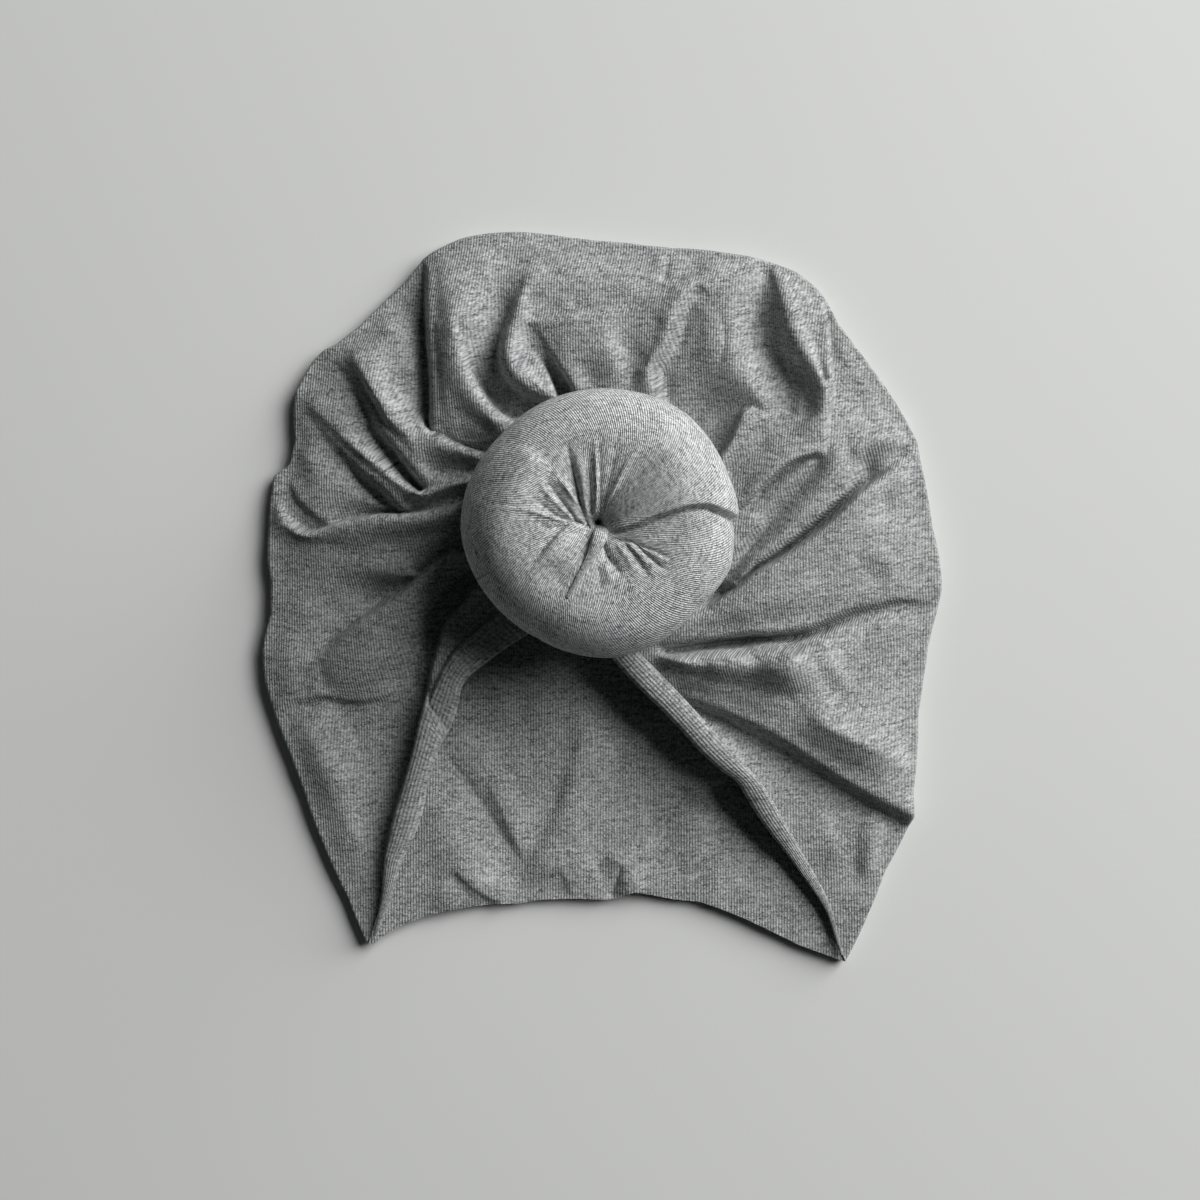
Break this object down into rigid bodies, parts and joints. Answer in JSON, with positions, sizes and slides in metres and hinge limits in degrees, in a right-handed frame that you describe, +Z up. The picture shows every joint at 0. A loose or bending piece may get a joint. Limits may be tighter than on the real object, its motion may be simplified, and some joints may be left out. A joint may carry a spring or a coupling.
{
  "type": "turban headwrap",
  "caption": "Soft grey marl jersey turban headwrap lying on its back, its front gathered in radial pleats to a stuffed round knot over an open face and nape.",
  "frame": {"origin": "on the surface that the headwrap lies on, under the middle of its outline seen from above", "axes": "+Z up through the knot, +Y towards the crown, away from the face opening, +X to the right with the face opening at the bottom"},
  "size_m": [0.179, 0.1926, 0.0451],
  "materials": {
    "grey_marl_jersey": "matt knitted cotton, marled grey"
  },
  "bodies": {
    "root": {"cap_shell": "grey_marl_jersey", "hem_left": "grey_marl_jersey", "hem_right": "grey_marl_jersey", "gather_stem": "grey_marl_jersey", "bun_ring": "grey_marl_jersey", "bun_lap": "grey_marl_jersey", "centre_tuck": "grey_marl_jersey"}
  },
  "joints": []
}
